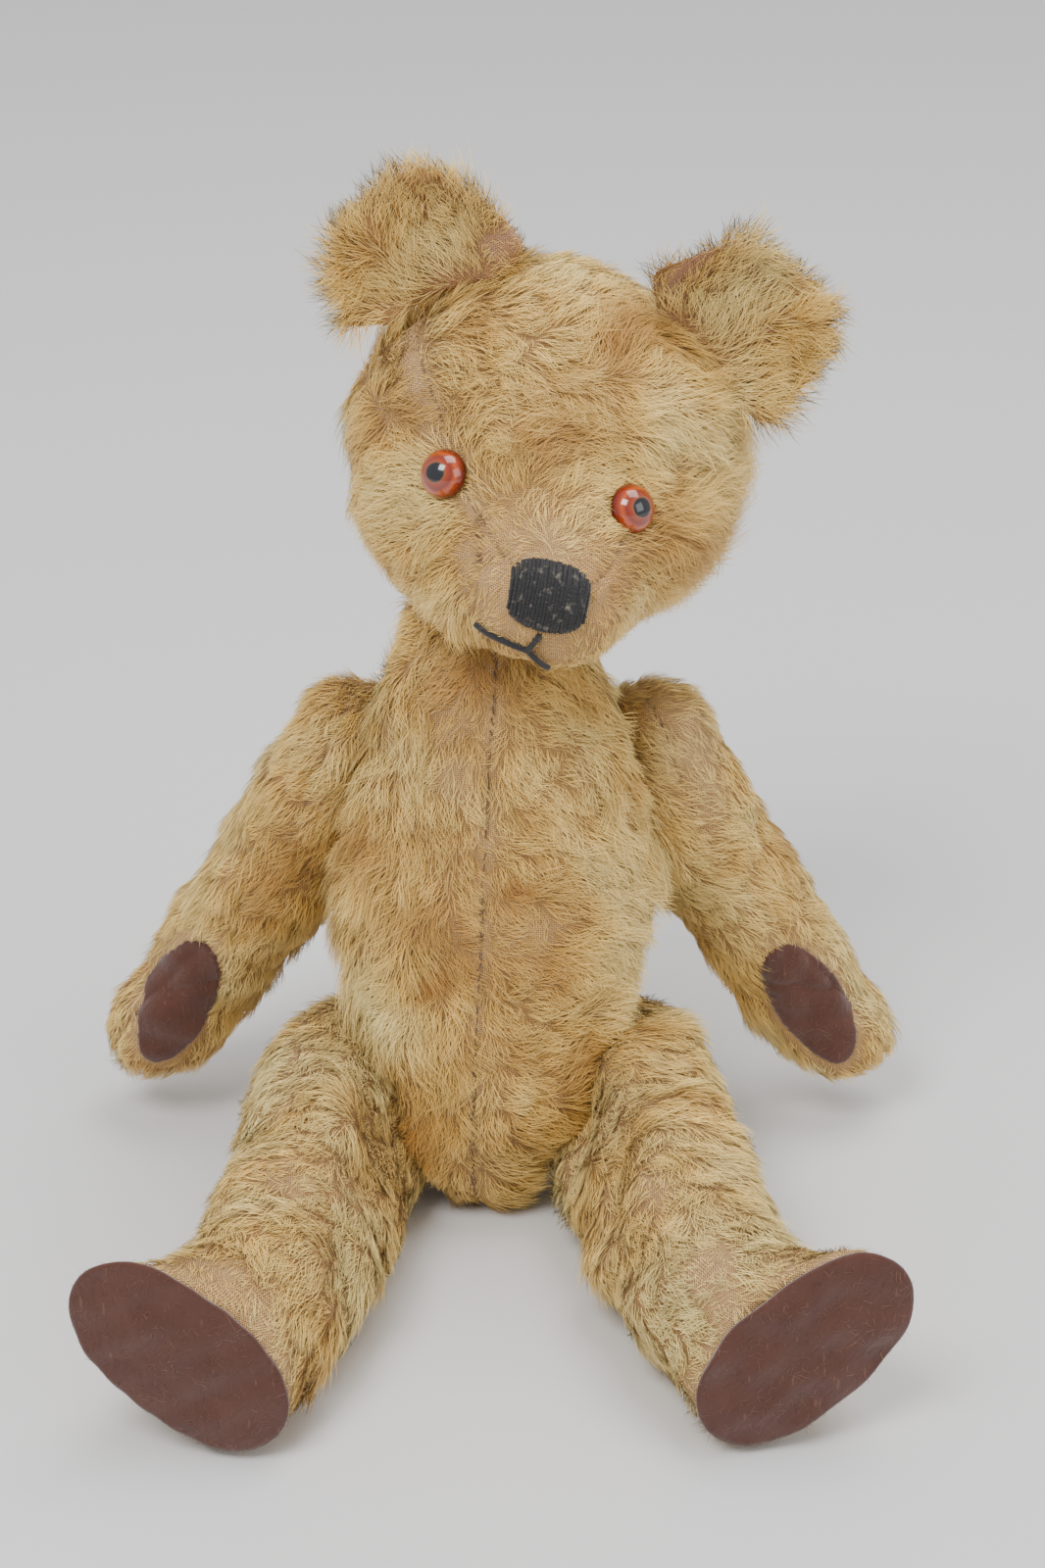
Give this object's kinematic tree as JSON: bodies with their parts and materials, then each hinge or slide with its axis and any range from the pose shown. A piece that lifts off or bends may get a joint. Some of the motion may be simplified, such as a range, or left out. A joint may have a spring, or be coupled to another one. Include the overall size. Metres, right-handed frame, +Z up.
{
  "type": "jointed teddy bear",
  "caption": "Seated mohair teddy bear with disc joints: the head turns and the arms and legs swing; felt paws and soles, glass eyes and a stitched nose.",
  "frame": {"origin": "on the seat plane, under the middle of the torso's seat patch", "axes": "+Z up, -Y the way the torso faces, +X towards the bear's own left"},
  "size_m": [0.2533, 0.2441, 0.3155],
  "materials": {
    "mohair": "golden mohair pile on a woven cotton backing, worn thin in places",
    "felt": "dark red-brown wool felt, lightly fuzzed",
    "stuffing": "packed wood wool",
    "hardboard": "pressed fibreboard, unpainted",
    "steel": "plain drawn wire and stamped sheet",
    "eye_glass": "clear amber glass",
    "pupil": "glossy black glass",
    "nose_thread": "black pearl cotton, satin stitched",
    "seam_thread": "brown sewing thread"
  },
  "bodies": {
    "torso": {"torso_skin_left": "mohair", "torso_skin_right": "mohair", "torso_stuffing": "stuffing", "front_seam_thread": "seam_thread", "neck_disc_lower": "hardboard", "torso_washers": "steel", "shoulder_disc_inner_left": "hardboard", "hip_disc_inner_left": "hardboard", "shoulder_disc_inner_right": "hardboard", "hip_disc_inner_right": "hardboard"},
    "head": {"head_gusset": "mohair", "head_side_left": "mohair", "head_side_right": "mohair", "head_stuffing": "stuffing", "nose_stitching": "nose_thread", "mouth_stitching": "nose_thread", "neck_disc_upper": "hardboard", "neck_washer": "steel", "neck_cotter_pin": "steel", "ear_left_front": "mohair", "ear_left_back": "mohair", "eye_left_glass": "eye_glass", "eye_left_pupil": "pupil", "eye_left_wire": "steel", "ear_right_front": "mohair", "ear_right_back": "mohair", "eye_right_glass": "eye_glass", "eye_right_pupil": "pupil", "eye_right_wire": "steel"},
    "arm_left": {"arm_left_outer": "mohair", "arm_left_inner": "mohair", "paw_pad_left": "felt", "arm_left_stuffing": "stuffing", "shoulder_disc_outer_left": "hardboard", "shoulder_washer_left": "steel", "shoulder_pin_left": "steel"},
    "arm_right": {"arm_right_outer": "mohair", "arm_right_inner": "mohair", "paw_pad_right": "felt", "arm_right_stuffing": "stuffing", "shoulder_disc_outer_right": "hardboard", "shoulder_washer_right": "steel", "shoulder_pin_right": "steel"},
    "leg_left": {"leg_left_outer": "mohair", "leg_left_inner": "mohair", "sole_left": "felt", "leg_left_stuffing": "stuffing", "hip_disc_outer_left": "hardboard", "hip_washer_left": "steel", "hip_pin_left": "steel"},
    "leg_right": {"leg_right_outer": "mohair", "leg_right_inner": "mohair", "sole_right": "felt", "leg_right_stuffing": "stuffing", "hip_disc_outer_right": "hardboard", "hip_washer_right": "steel", "hip_pin_right": "steel"}
  },
  "joints": [
    {"name": "neck_turn", "type": "hinge", "parent": "torso", "child": "head", "pos_m": [0.0097, 0.04615, 0.18509], "axis": [0.2079, 0, 0.9781], "continuous": true},
    {"name": "arm_left_swing", "type": "hinge", "parent": "torso", "child": "arm_left", "pos_m": [0.04351, 0.0395, 0.12431], "axis": [-0.9366, -0.2686, -0.225], "range_deg": [-100, 110]},
    {"name": "arm_right_swing", "type": "hinge", "parent": "torso", "child": "arm_right", "pos_m": [-0.03142, 0.0395, 0.12431], "axis": [-0.9366, 0.2686, 0.225], "range_deg": [-100, 110]},
    {"name": "leg_left_swing", "type": "hinge", "parent": "torso", "child": "leg_left", "pos_m": [0.02759, 0.00339, 0.03782], "axis": [0.8925, 0.1574, -0.4226], "range_deg": [-50, 44]},
    {"name": "leg_right_swing", "type": "hinge", "parent": "torso", "child": "leg_right", "pos_m": [-0.02253, 0.00251, 0.03782], "axis": [0.8975, -0.1261, 0.4226], "range_deg": [-50, 44]}
  ]
}
